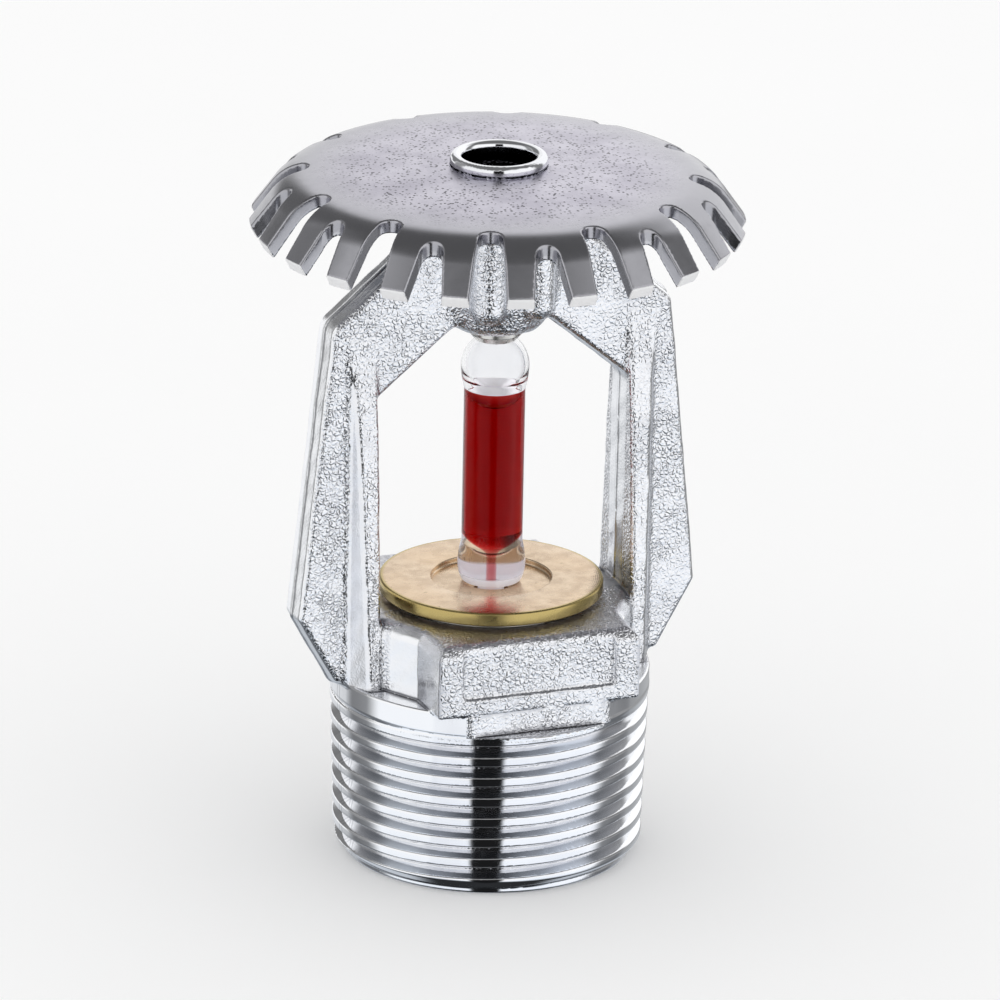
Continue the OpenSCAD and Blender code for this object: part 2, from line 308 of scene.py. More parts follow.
def polygon(u, v, points):
    """Signed distance to a closed outline in a plane."""
    nearest = np.full(u.shape, 1e9, u.dtype)
    inside = np.zeros(u.shape, bool)
    for (au, av), (bu, bv) in zip(points, points[1:] + points[:1]):
        eu, ev = bu - au, bv - av
        wu, wv = u - au, v - av
        t = np.clip((wu * eu + wv * ev) / (eu * eu + ev * ev), 0, 1)
        nearest = np.minimum(nearest, (wu - eu * t) ** 2 + (wv - ev * t) ** 2)
        if ev != 0:
            inside ^= ((av > v) != (bv > v)) & (u < au + eu * (v - av) / ev)
    return np.where(inside, -1, 1) * np.sqrt(nearest)


def corner_arcs(points, radii, steps=6):
    """An outline with each corner replaced by an arc; a radius of 0 leaves a corner sharp."""
    out = []
    count = len(points)
    for i, radius in enumerate(radii):
        here = np.array(points[i], float)
        back = np.array(points[i - 1], float) - here
        ahead = np.array(points[(i + 1) % count], float) - here
        if radius == 0:
            out.append(tuple(here))
            continue
        back /= np.linalg.norm(back)
        ahead /= np.linalg.norm(ahead)
        half = acos(np.clip(back @ ahead, -1, 1)) / 2
        middle = (back + ahead) / np.linalg.norm(back + ahead)
        centre = here + middle * radius / sin(half)
        first = here + back * radius / tan(half) - centre
        last = here + ahead * radius / tan(half) - centre
        for t in np.linspace(0, 1, steps + 1):
            chord = first * (1 - t) + last * t
            out.append(tuple(centre + chord * radius / np.linalg.norm(chord)))
    return out


def thread(r, x, y, z, crest, root, pitch, crest_half, flank, start, edge):
    """A right-hand thread on the Z axis, with rounded crests and roots."""
    turns = (z - start) / pitch - np.arctan2(y, x) / (2 * pi)
    away = np.abs(turns - np.round(turns)) * pitch
    side = (r - crest + (away - crest_half) / tan(flank)) * sin(flank)
    ridge = smooth_max(side, r - crest, edge)
    return smooth_min(ridge, r - root, edge)


def ripple(x, y, z, size, shift):
    """A gentle unevenness between -1 and 1 that repeats about every size millimetres."""
    k = 2 * pi / size
    return (
        np.sin(k * (x + 0.6 * y) + shift) * np.sin(k * (0.8 * z - 0.5 * x) + 2 * shift)
        + np.sin(k * (0.9 * y + 0.4 * z) - shift) * np.sin(k * (1.1 * x - 0.7 * z) + 3 * shift)
    ) / 2


def nipple_field(r, x, y, z):
    """The taper thread between a plain pilot and a flared shoulder."""
    crest = CREST_R + z * TAPER
    root = crest - THREAD_DEPTH
    body = thread(r, x, y, z, crest, root, PITCH, CREST_HALF, PIPE_FLANK, THREAD_START, THREAD_EDGE)
    body = np.maximum(body, z - SHOULDER_Z - THREAD_RUN_ON)
    pilot_r = CREST_R - PILOT_STEP
    body = smooth_max(body, (r - pilot_r + PILOT_LEN - z) * sqrt(0.5), 0.1)
    pilot = rounded(r - pilot_r, np.abs(z - PILOT_HALF) - PILOT_HALF, PILOT_EDGE)
    body = smooth_min(body, pilot, 0.06)
    flare = (r - SHOULDER_R + SHOULDER_Z - z) * sqrt(0.5)
    shoulder = smooth_max(r - SHOULDER_R, flare, SHOULDER_ROUND)
    shoulder = rounded(shoulder, z - BOSS_Z - SHOULDER_ROUND, SHOULDER_ROUND)
    body = smooth_min(body, shoulder, 0.15)
    return np.maximum(body, -z)


def boss_plan():
    """The boss from above: two wrench flats joined by facets."""
    facet = FACET_APOTHEM * np.array((cos(FACET_ANGLE), sin(FACET_ANGLE)))
    along = np.array((sin(FACET_ANGLE), -cos(FACET_ANGLE)))
    upper = facet - FACET_TO_FLAT * along
    lower = facet + FACET_TO_ARM * along
    quarter = [(FLAT_X, FLAT_Y), tuple(upper), tuple(lower)]
    right = quarter + [(px, -py) for px, py in reversed(quarter)]
    return right + [(-px, -py) for px, py in right]


def boss_field(x, y, z):
    """The boss, with a chamfered top and a blank sunk panel on each flat."""
    plan = polygon(x, y, boss_plan())
    middle, half = (BOSS_Z + BOSS_TOP) / 2, (BOSS_TOP - BOSS_Z) / 2
    body = rounded(plan, np.abs(z - middle) - half, BOSS_ROUND)
    body = smooth_max(body, (plan + z - BOSS_TOP + BOSS_CHAMFER) * sqrt(0.5), CHAMFER_SOFT)
    wide = np.abs(x) - PANEL_X
    tall = np.abs(z - (PANEL_LOW + PANEL_TOP) / 2) - (PANEL_TOP - PANEL_LOW) / 2
    panel = rounded(rounded(wide, tall, PANEL_CORNER), FLAT_Y - PANEL_DEPTH - np.abs(y), 0.15)
    return smooth_max(body, -panel, PANEL_RIM)


def web_outline():
    """An arm from the front, from its root in the boss to its end in the knuckle."""
    root_x, end_x = WINDOW_X - 2.5, 1
    points = [
        (root_x, 17.0), ARM_LOW, (ARM_X, ARM_BEND_Z), ARM_HIGH, ARM_TOP, (end_x, ARM_TOP[1]),
        (end_x, 48.7), WINDOW_PEAK, (WINDOW_X + 0.1, WINDOW_TOP), (WINDOW_X, BOSS_TOP - 1),
        (root_x, BOSS_TOP - 2)
    ]
    return corner_arcs(points, [0, 0.6, 0.8, 1.6, 0, 0, 0, 0.8, 0.9, 0, 0])


def arm_field(x, y, z):
    """A web with a parting line on its edge and a tapering rib on each face."""
    side, depth = np.abs(x), np.abs(y)
    outline = polygon(side, z, web_outline()) + WEB_DRAFT * depth
    web = rounded(outline, depth - WEB_HALF, WEB_ROUND)
    web = web - PARTING_H * np.exp(-(y / PARTING_W) ** 2) * (outline > -PARTING_REACH)
    share = (z - RIB_Z[0]) / (RIB_Z[1] - RIB_Z[0])
    front = depth - RIB_LOW - (RIB_HIGH - RIB_LOW) * share
    front = smooth_max(front, (z - RIB_FADE_Z) * RIB_FADE + depth - WEB_HALF, RIB_END)
    slope = ((side - RIB_FRONT) * RIB_RISE + (depth - RIB_LOW) * RIB_RUN) / RIB_SIDE
    rib = smooth_max(front, slope, RIB_EDGE)
    rib = rounded(rib, WINDOW_X - side, RIB_ROUND)
    rib = rounded(rib, np.maximum(RIB_Z[0] - z, z - RIB_Z[1]), RIB_ROUND)
    return smooth_min(web, rib, 0.5)


def knuckle_outline():
    points = [
        (-1, KNUCKLE_Z), (3.5, KNUCKLE_Z), (4.1, 46.6), (4.7, 48.6), (5.4, 55.9),
        (5.4, KNUCKLE_TOP), (-1, KNUCKLE_TOP)
    ]
    return corner_arcs(points, [0, 0.8, 1.0, 1.5, 2.0, 0.2, 0])


def knuckle_field(r, x, y, z):
    """A round body with four lobes under the deflector."""
    body = polygon(r, z, knuckle_outline())
    side = np.abs(x) - LOBE_AXIS * cos(LOBE_ANGLE)
    depth = np.abs(y) - LOBE_AXIS * sin(LOBE_ANGLE)
    below = np.minimum(z - LOBE_LOW - LOBE_R, 0)
    lobe = np.sqrt(side * side + depth * depth + below * below) - LOBE_R
    return smooth_min(body, rounded(lobe, z - KNUCKLE_TOP, 0.2), 0.35)


def rim_outline():
    """The spigot that passes through the deflector and the rim rolled over it."""
    foot, low, top = KNUCKLE_TOP - 1, DOME_TOP + 0.03, FRAME_HIGH[2]
    points = [(2, foot), (SPIGOT_R, foot), (SPIGOT_R, low), (RIM_R, low), (RIM_R, top), (2, top)]
    return corner_arcs(points, [0, 0, 0, 0.25, 0.5, 0])


def waterway_outline():
    """The bore from the inlet to the orifice, and the cap's seat."""
    return [
        (-1, -1), (INLET_R + 1.6, -1), (INLET_R, 0.6), (INLET_R, INLET_LEN), (ORIFICE_R, ORIFICE_Z),
        (ORIFICE_R, LAND_Z), (SEAT_R, LAND_Z), (SEAT_R, BOSS_TOP + 1), (-1, BOSS_TOP + 1)
    ]


def frame_field(x, y, z):
    """The whole frame: a casting with the nipple, the rim and the bores turned."""
    r = np.sqrt(x * x + y * y)
    cast = smooth_min(boss_field(x, y, z), arm_field(x, y, z), ARM_BLEND)
    cast = smooth_min(cast, knuckle_field(r, x, y, z), KNUCKLE_BLEND)
    for height, size, shift in CAST_RIPPLES:
        cast = cast + height * ripple(x, y, z, size, shift)
    body = smooth_min(cast, nipple_field(r, x, y, z), 0.1)
    body = np.maximum(body, -np.maximum(FLAT_Y - np.abs(y), SHOULDER_Z - z))
    body = smooth_max(body, -polygon(r, z, waterway_outline()), 0.12)
    body = np.minimum(body, polygon(r, z, rim_outline()))
    return smooth_max(body, -rounded(r - HOLE_R, KNUCKLE_Z - 2 - z, 0.1), HOLE_MOUTH)


def bend_centre():
    """Radius and height of the bend's centre, and the slope where the bend starts."""
    start = asin(BEND_START / DOME_R)
    top_z = DOME_TOP - DOME_R * (1 - cos(start))
    return BEND_START - BEND_R * sin(start), top_z - BEND_R * cos(start), start


def tip_height():
    """Height of the upper edge at the tip of a tine."""
    centre_r, centre_z, _ = bend_centre()
    end_r = centre_r + BEND_R * sin(TINE_SLOPE)
    end_z = centre_z + BEND_R * cos(TINE_SLOPE)
    return end_z - (TIP_R - end_r) * tan(TINE_SLOPE)


def deflector_field(x, y, z):
    """A shallow dome bent down into tines, with slots of two depths in turn."""
    r = np.sqrt(x * x + y * y)
    centre_r, centre_z, start = bend_centre()
    dr, dz = r - centre_r, z - centre_z
    lean = np.arctan2(dr, dz)
    dome = np.sqrt(r * r + (z - DOME_TOP + DOME_R) ** 2) - DOME_R
    bend = np.sqrt(dr * dr + dz * dz) - BEND_R
    flat = dr * sin(TINE_SLOPE) + dz * cos(TINE_SLOPE) - BEND_R
    above = np.where(lean < start, dome, np.where(lean > TINE_SLOPE, flat, bend))
    sheet = np.abs(above + SHEET_T / 2) - SHEET_T / 2
    end = (r - TIP_R) * cos(TIP_FACE) - (z - tip_height()) * sin(TIP_FACE)
    step = 2 * pi / TINES
    turn = np.arctan2(y, x) / step
    number = np.floor(turn)
    local = (turn - number - 0.5) * step
    along, across = r * np.cos(local), np.abs(r * np.sin(local))
    inner = np.where(number % 2 == 0, DEEP_SLOT, SHALLOW_SLOT) + SLOT_IN
    grow = (SLOT_OUT - SLOT_IN) / (TIP_R - inner)
    side = (across - SLOT_IN - np.maximum(along - inner, 0) * grow)
    slot = np.where(along > inner, side, np.sqrt((along - inner) ** 2 + across ** 2) - SLOT_IN)
    body = rounded(sheet, np.maximum(end, -slot), SHEET_ROUND)
    return rounded(body, HUB_R - r, 0.1)


def screw_field(x, y, z):
    """A set screw, with a tip cupped for the bulb and a hexagon socket on top."""
    r = np.sqrt(x * x + y * y)
    crest, low, top = SCREW_HIGH[0], SCREW_THREAD_Z, SCREW_HIGH[2]
    root = crest - SCREW_DEPTH
    body = thread(r, x, y, z, crest, root, SCREW_PITCH, SCREW_CREST_HALF, SCREW_FLANK, low, SCREW_EDGE)
    body = rounded(body, np.abs(z - (low + top) / 2) - (top - low) / 2, 0.1)
    tip = [
        (-1, SCREW_LOW[2]), (SCREW_TIP_FACE_R, SCREW_LOW[2]), (SCREW_TIP_R, SCREW_TIP_Z),
        (SCREW_TIP_R, low + 1), (-1, low + 1)
    ]
    body = smooth_min(body, polygon(r, z, tip), 0.15)
    cup = np.sqrt(r * r + (z - BALL_HIGH_Z) ** 2) - BALL_R - WALL_GAP
    body = smooth_max(body, -cup, 0.08)
    hexagon = np.full(r.shape, -1e9, r.dtype)
    for k in range(3):
        angle = k * pi / 3
        hexagon = np.maximum(hexagon, np.abs(x * cos(angle) + y * sin(angle)) - HEX_APOTHEM)
    return smooth_max(body, -np.maximum(hexagon, top - HEX_DEPTH - z), 0.1)


# ---- Meshes ----

def sample(field, low, high, step):
    """Field values on a grid. Blocks that the surface doesn't reach keep the value at their middle."""
    block, margin = 4, 1.05
    counts = [int(np.ceil((b - a) / step / block)) for a, b in zip(low, high)]
    middle = [a + (np.arange(n) + 0.5) * block * step - step / 2 for a, n in zip(low, counts)]
    grid = np.stack(np.meshgrid(*middle, indexing="ij"), -1).reshape(-1, 3)
    coarse = field(*grid.T)
    close = np.nonzero(np.abs(coarse) < block * step * margin)[0]
    values = np.repeat(coarse[:, None], block ** 3, 1).astype(np.float32)
    inner = (np.arange(block) - (block - 1) / 2) * step
    cell = np.stack(np.meshgrid(inner, inner, inner, indexing="ij"), -1).reshape(-1, 3)
    for part in np.array_split(close, max(1, len(close) // 4000)):
        points = (grid[part][:, None, :] + cell[None]).reshape(-1, 3)
        values[part] = field(*points.T).reshape(-1, block ** 3)
    nx, ny, nz = counts
    values = values.reshape(nx, ny, nz, block, block, block).transpose(0, 3, 1, 4, 2, 5)
    return values.reshape(nx * block, ny * block, nz * block)


def surface_net(values, low, step):
    """One vertex in each grid cell that the surface crosses, and one quad for each crossed grid edge."""
    inside = values < 0
    counts = np.zeros([n - 1 for n in values.shape], np.int8)
    corners = [(i, j, k) for i in (0, 1) for j in (0, 1) for k in (0, 1)]
    spans = {c: tuple(slice(o, n - 1 + o) for o, n in zip(c, values.shape)) for c in corners}
    for c in corners:
        counts += inside[spans[c]]
    cells = np.argwhere((counts > 0) & (counts < 8))
    number = np.full(counts.shape, -1, np.int64)
    number[tuple(cells.T)] = np.arange(len(cells))
    total = np.zeros((len(cells), 3))
    hits = np.zeros(len(cells))
    for a in corners:
        for axis in range(3):
            if a[axis] == 1:
                continue
            b = tuple(o + (n == axis) for n, o in enumerate(a))
            va = values[tuple((cells + a).T)].astype(float)
            vb = values[tuple((cells + b).T)].astype(float)
            crossed = (va < 0) != (vb < 0)
            t = np.where(crossed, va / np.where(crossed, va - vb, 1), 0)
            point = np.array(a, float) + t[:, None] * (np.arange(3) == axis)
            total += point * crossed[:, None]
            hits += crossed
    vertices = np.array(low) + (cells + total / hits[:, None]) * step
    quads = []
    for axis in range(3):
        u, v = (axis + 1) % 3, (axis + 2) % 3
        first = [slice(1, n - 1) for n in values.shape]
        first[axis] = slice(0, values.shape[axis] - 1)
        second = list(first)
        second[axis] = slice(1, values.shape[axis])
        start = np.array([s.start for s in first])
        a, b = inside[tuple(first)], inside[tuple(second)]
        for flip, where in ((False, a & ~b), (True, ~a & b)):
            place = np.argwhere(where) + start
            ring = []
            for du, dv in ((1, 1), (0, 1), (0, 0), (1, 0)):
                spot = place.copy()
                spot[:, u] -= du
                spot[:, v] -= dv
                ring.append(number[tuple(spot.T)])
            quads.append(np.stack(ring[::-1] if flip else ring, 1))
    return vertices, np.concatenate(quads)


def slopes(field, points, reach):
    """The field's slope at each point, from its values reach away on either side."""
    out = np.empty_like(points)
    for axis in range(3):
        ahead, behind = points.copy(), points.copy()
        ahead[:, axis] += reach
        behind[:, axis] -= reach
        out[:, axis] = (field(*ahead.T) - field(*behind.T)) / (2 * reach)
    return out


def settle(field, points, reach, passes=3):
    """Moves points onto the surface along the field's slope."""
    for _ in range(passes):
        slope = slopes(field, points, reach)
        size = np.maximum((slope * slope).sum(1), 0.1)
        move = np.clip(field(*points.T) / size, -reach * 4, reach * 4)
        points = points - move[:, None] * slope
    return points


def new_object(name, vertices, faces):
    """An object in the scene from vertices in millimetres."""
    mesh = bpy.data.meshes.new(name)
    mesh.from_pydata([(x * MM, y * MM, z * MM) for x, y, z in vertices], [], faces)
    obj = bpy.data.objects.new(name, mesh)
    bpy.context.scene.collection.objects.link(obj)
    return obj


def thin_out(obj, ratio):
    thin = obj.modifiers.new("thin", "DECIMATE")
    thin.ratio = ratio
    thinned = bpy.data.meshes.new_from_object(obj.evaluated_get(bpy.context.evaluated_depsgraph_get()))
    obj.modifiers.clear()
    obj.data = thinned


def sculpt(name, field, low, high, step, most_triangles, shade=None):
    """A piece meshed from its distance field, thinned to most_triangles and shaded by the slope of shade."""
    shade = shade or field
    step = step
    low = np.array(low) - 3 * step
    high = np.array(high) + 3 * step
    vertices, quads = surface_net(sample(field, low, high, step), low, step)
    obj = new_object(name, settle(field, vertices, step / 4), quads.tolist())
    triangles = 2 * len(quads)
    if triangles > most_triangles:
        thin_out(obj, most_triangles / triangles)
    count = len(obj.data.vertices)
    co = np.zeros(count * 3, np.float32)
    obj.data.vertices.foreach_get("co", co)
    points = settle(field, co.reshape(-1, 3).astype(float) / MM, step / 4)
    obj.data.vertices.foreach_set("co", (points * MM).astype(np.float32).ravel())
    obj.data.update()
    normals = slopes(shade, points, 0.03)
    normals /= np.linalg.norm(normals, axis=1)[:, None]
    here = shade(*points.T)
    for key, reach in (("hollow", SIGHT), ("corner", -CORNER)):
        change = (shade(*(points + normals * reach).T) - here) / reach
        layer = obj.data.attributes.new(key, "FLOAT", "POINT")
        layer.data.foreach_set("value", (1 - change).astype(np.float32))
    obj.data.shade_smooth()
    obj.data.normals_split_custom_set_from_vertices(normals.tolist())
    return obj


def lathe(name, profile, segments=128, sharp=40):
    """A closed turned piece from (radius, height) points; points on the axis become poles."""
    vertices, rows = [], []
    for r, z in profile:
        if r < 1e-6:
            rows.append([len(vertices)] * segments)
            vertices.append((0, 0, z))
            continue
        rows.append([len(vertices) + k for k in range(segments)])
        for k in range(segments):
            turn = 2 * pi * k / segments
            vertices.append((r * cos(turn), r * sin(turn), z))
    faces = []
    closed = profile[0][0] > 1e-6
    pairs = list(zip(rows, rows[1:])) + ([(rows[-1], rows[0])] if closed else [])
    for lower, upper in pairs:
        for k in range(segments):
            n = (k + 1) % segments
            face = list(dict.fromkeys([lower[k], lower[n], upper[n], upper[k]]))
            if len(face) > 2:
                faces.append(face)
    obj = new_object(name, vertices, faces)
    obj.data.shade_smooth()
    obj.data.set_sharp_from_angle(angle=radians(sharp))
    return obj


# ---- Materials ----

class Value:
    """A socket of a node tree, with arithmetic that adds math nodes."""

    def __init__(self, tree, socket):
        self.tree = tree
        self.socket = socket

    def math(self, kind, *others):
        node = self.tree.nodes.new("ShaderNodeMath")
        node.operation = kind
        for slot_in, value in zip(node.inputs, (self, *others)):
            plug(self.tree, slot_in, value)
        return Value(self.tree, node.outputs[0])

    def __add__(self, other):
        return self.math("ADD", other)

    def __sub__(self, other):
        return self.math("SUBTRACT", other)

    def __mul__(self, other):
        return self.math("MULTIPLY", other)

    def unsigned(self):
        return self.math("ABSOLUTE")

    def most(self, *others):
        """The greatest of this and the others."""
        out = self
        for other in others:
            out = out.math("MAXIMUM", other)
        return out

    def ramp(self, start, end):
        """0 at start and 1 at end, smooth between them."""
        node = self.tree.nodes.new("ShaderNodeMapRange")
        node.interpolation_type = "SMOOTHSTEP"
        plug(self.tree, node.inputs["Value"], self)
        low, high = min(start, end), max(start, end)
        node.inputs["From Min"].default_value = low
        node.inputs["From Max"].default_value = high
        node.inputs["To Min"].default_value = 0 if start < end else 1
        node.inputs["To Max"].default_value = 1 if start < end else 0
        return Value(self.tree, node.outputs["Result"])


def plug(tree, slot_in, value):
    """Links or sets an input; a number fills a vector and a colour gains its alpha."""
    if isinstance(value, Value):
        tree.links.new(value.socket, slot_in)
    elif hasattr(slot_in.default_value, "__len__") and not hasattr(value, "__len__"):
        slot_in.default_value = (value,) * len(slot_in.default_value)
    elif hasattr(value, "__len__") and len(value) == 3 and len(slot_in.default_value) == 4:
        slot_in.default_value = (*value, 1)
    else:
        slot_in.default_value = value


def add(tree, kind, output=0, **inputs):
    """A new node with its inputs set; returns one of its outputs."""
    node = tree.nodes.new(kind)
    for key, value in inputs.items():
        plug(tree, node.inputs[key.replace("_", " ")], value)
    return Value(tree, node.outputs[output])


def mix(tree, share, a, b):
    node = tree.nodes.new("ShaderNodeMix")
    node.data_type = "RGBA"
    plug(tree, node.inputs[0], share)
    plug(tree, node.inputs[6], a)
    plug(tree, node.inputs[7], b)
    return Value(tree, node.outputs[2])


def mix_value(tree, share, a, b):
    node = tree.nodes.new("ShaderNodeMix")
    plug(tree, node.inputs[0], share)
    plug(tree, node.inputs[2], a)
    plug(tree, node.inputs[3], b)
    return Value(tree, node.outputs[0])


def millimetres(tree):
    """The place on the piece, in millimetres, and its parts."""
    place = add(tree, "ShaderNodeTexCoord", "Object")
    node = tree.nodes.new("ShaderNodeVectorMath")
    node.operation = "SCALE"
    tree.links.new(place.socket, node.inputs[0])
    node.inputs["Scale"].default_value = 1 / MM
    scaled = Value(tree, node.outputs[0])
    split = tree.nodes.new("ShaderNodeSeparateXYZ")
    tree.links.new(scaled.socket, split.inputs[0])
    x, y, z = (Value(tree, split.outputs[k]) for k in range(3))
    radius = (x * x + y * y).math("SQRT")
    return scaled, x, y, z, radius


def noise(tree, place, size, detail=2.0, rough=0.5):
    return add(
        tree, "ShaderNodeTexNoise", "Fac", Vector=place, Scale=1 / size, Detail=detail, Roughness=rough
    )


def cells(tree, place, size, feature="F1"):
    node = tree.nodes.new("ShaderNodeTexVoronoi")
    node.feature = feature
    plug(tree, node.inputs["Vector"], place)
    node.inputs["Scale"].default_value = 1 / size
    return Value(tree, node.outputs["Distance"])


def wobble(tree, place, size, reach):
    """The place moved about at random by up to reach millimetres, so that cells aren't straight-edged."""
    shift = tree.nodes.new("ShaderNodeTexNoise")
    plug(tree, shift.inputs["Vector"], place)
    shift.inputs["Scale"].default_value = 1 / size
    shift.inputs["Detail"].default_value = 1.0
    node = tree.nodes.new("ShaderNodeVectorMath")
    node.operation = "MULTIPLY_ADD"
    tree.links.new(shift.outputs["Color"], node.inputs[0])
    node.inputs[1].default_value = (2 * reach,) * 3
    plug(tree, node.inputs[2], place)
    return Value(tree, node.outputs[0])


def bump(tree, height, depth):
    """Bump where a height of 1 stands for depth millimetres."""
    return add(tree, "ShaderNodeBump", Height=height, Distance=depth * MM, Strength=1.0)


def patchy(tree, share, pair):
    """A colour that wanders between the two of a pair."""
    return mix(tree, share, *pair)


def new_material(name):
    """An empty material, its node tree and its output node."""
    material = bpy.data.materials.new(name)
    material.use_nodes = True
    tree = material.node_tree
    tree.nodes.clear()
    output = tree.nodes.new("ShaderNodeOutputMaterial")
    return material, tree, output


def show(tree, shader, output):
    tree.links.new(shader.socket, output.inputs["Surface"])


def metal(name, look):
    """A metal whose colour, roughness, normal and shine come from look(tree, place, x, y, z, radius)."""
    material, tree, output = new_material(name)
    colour, roughness, normal, shine = look(tree, *millimetres(tree))
    shader = add(
        tree, "ShaderNodeBsdfPrincipled", Base_Color=colour, Metallic=shine, Roughness=roughness,
        Normal=normal
    )
    show(tree, shader, output)
    return material


def near(tree, key):
    """How closed in (hollow) or how exposed (corner) a place on a sculpted piece is: 0 on flat faces."""
    node = tree.nodes.new("ShaderNodeAttribute")
    node.attribute_name = key
    return Value(tree, node.outputs["Fac"])


def turned_share(across, z, radius):
    """1 on the frame's turned nipple, rim and lower bores, and 0 where it is as cast."""
    flat = across.ramp(FLAT_Y - 0.3, FLAT_Y - CAST_FLAT) * z.ramp(SHOULDER_Z - 0.1, SHOULDER_Z)
    nipple = z.ramp(BOSS_Z + 0.25, BOSS_Z + 0.05) * flat.ramp(1, 0)
    rim = z.ramp(DOME_TOP - 1, DOME_TOP - 0.5)
    bored = radius.ramp(SEAT_R + 0.15, SEAT_R) * z.ramp(BORE_TOP, BORE_TOP - 1)
    return nipple.most(rim, bored)


def clean_faces(side, across, z):
    """The casting's smoother faces: boss facets, arm edges and the ribs' slopes."""
    facet = across.ramp(RIB_LOW + 0.1, RIB_LOW + 0.6) * across.ramp(FLAT_Y - 0.05, FLAT_Y - 0.3)
    facet = facet * z.ramp(BOSS_TOP, BOSS_TOP - 0.3) * side.ramp(FLAT_X - 0.4, FLAT_X)
    border = across.ramp(WEB_HALF - 0.05, WEB_HALF - 0.25) * side.ramp(5.6, 6.0)
    slope = ((side - RIB_FRONT) * RIB_RISE + (across - RIB_LOW) * RIB_RUN) * (1 / RIB_SIDE)
    flank = slope.ramp(-0.3, -0.1) * across.ramp(WEB_HALF + 0.05, WEB_HALF + 0.3)
    return facet, border, flank * across.ramp(RIB_LOW + 0.2, RIB_LOW)


def cast_skin(tree, place, clean):
    """Height of the stippled skin, and where its creases get painted shade. Both are faint where clean is 1.
    """
    edge = cells(tree, wobble(tree, place, 0.4, 0.2), 0.38, "DISTANCE_TO_EDGE")
    grain = noise(tree, place, 0.3, 1.0, 0.4)
    strength = (noise(tree, place, 5.0, 2.0).ramp(0.3, 0.6) * 0.5 + 0.5) * (clean * -0.88 + 1)
    broad = noise(tree, place, 3.0, 2.0) * (clean * -0.3 + 0.8)
    relief = (edge.ramp(-0.05, 0.4) + grain * 0.7) * strength + broad
    return relief, edge.ramp(0.16, 0.0) * strength * grain.ramp(0.3, 0.7)


def chrome_look(tree, place, x, y, z, radius):
    """Plated cast bronze: stippled as cast, smooth where it was turned, with painted shade in its hollows,
    in the creases of its stipple, in the screw hole and on the boss top, a painted highlight on the boss
    facets and arm edge faces, and a painted dark reflection on the cast corners.
    """
    side, across = x.unsigned(), y.unsigned()
    turned = turned_share(across, z, radius)
    cast = turned.ramp(1, 0)
    corner = near(tree, "corner").ramp(0.2, 0.7)
    hollow = near(tree, "hollow").ramp(0.25, 0.9)
    facet, border, flank = clean_faces(side, across, z)
    bright = facet.most(border)
    relief, creases = cast_skin(tree, place, bright.most(flank, corner * 0.8))
    height = relief * cast + noise(tree, place, 0.9, 3.0) * turned * 0.03
    topside = z.ramp(BOSS_TOP - 0.4, BOSS_TOP - 0.2) * z.ramp(BOSS_TOP + 0.6, BOSS_TOP + 0.3)
    topside = topside * side.ramp(WINDOW_X + 0.1, WINDOW_X - 0.1) * cast
    seam = across.ramp(PARTING_W * 2, PARTING_W * 1.5) * across.ramp(PARTING_W * 0.5, PARTING_W) * border
    rim_top = float(FRAME_HIGH[2])
    # painted shade: the inner wall of the screw hole below the rim's lip
    hole_shade = radius.ramp(HOLE_R + 0.12, HOLE_R + 0.02) * z.ramp(HOLE_Z - 2, HOLE_Z)
    hole_shade = hole_shade * z.ramp(rim_top - 0.7, rim_top - 1.0)
    tarnish = noise(tree, place, 3.5, 1.5).ramp(0.45, 0.75) * 0.35
    colour = mix(tree, tarnish, CHROME, CHROME_TARNISH)
    layers = (
        # painted shade in the creases of the stippled skin
        (creases * cast * 0.3, CAST_CREASE_SHADE),
        # painted highlight: boss facets and arm edge faces lightened where they reflect the bright studio
        (bright * 0.8, CHROME_PAINTED_SHEEN),
        (seam * 0.3, CAST_SEAM),
        (topside * 0.35, BOSS_TOP_SHADE),
        # painted shade in the hollows, stronger on the casting
        (hollow * (cast * 0.65 + 0.1), HOLLOW_SHADE),
        (corner * turned * 0.5, CHROME_EDGE),
        # painted dark reflection on the casting's corners
        (corner * cast * 0.45, CAST_CORNER_DARK_REFLECTION),
        # painted shade inside the screw hole
        (hole_shade, SCREW_HOLE_SHADE)
    )
    for share, layer in layers:
        colour = mix(tree, share, colour, layer)
    roughness = cast * 0.12 + topside * 0.1 + noise(tree, place, 1.3, 3.0) * 0.1 + 0.02
    return colour, roughness, bump(tree, height, 0.045), 1.0


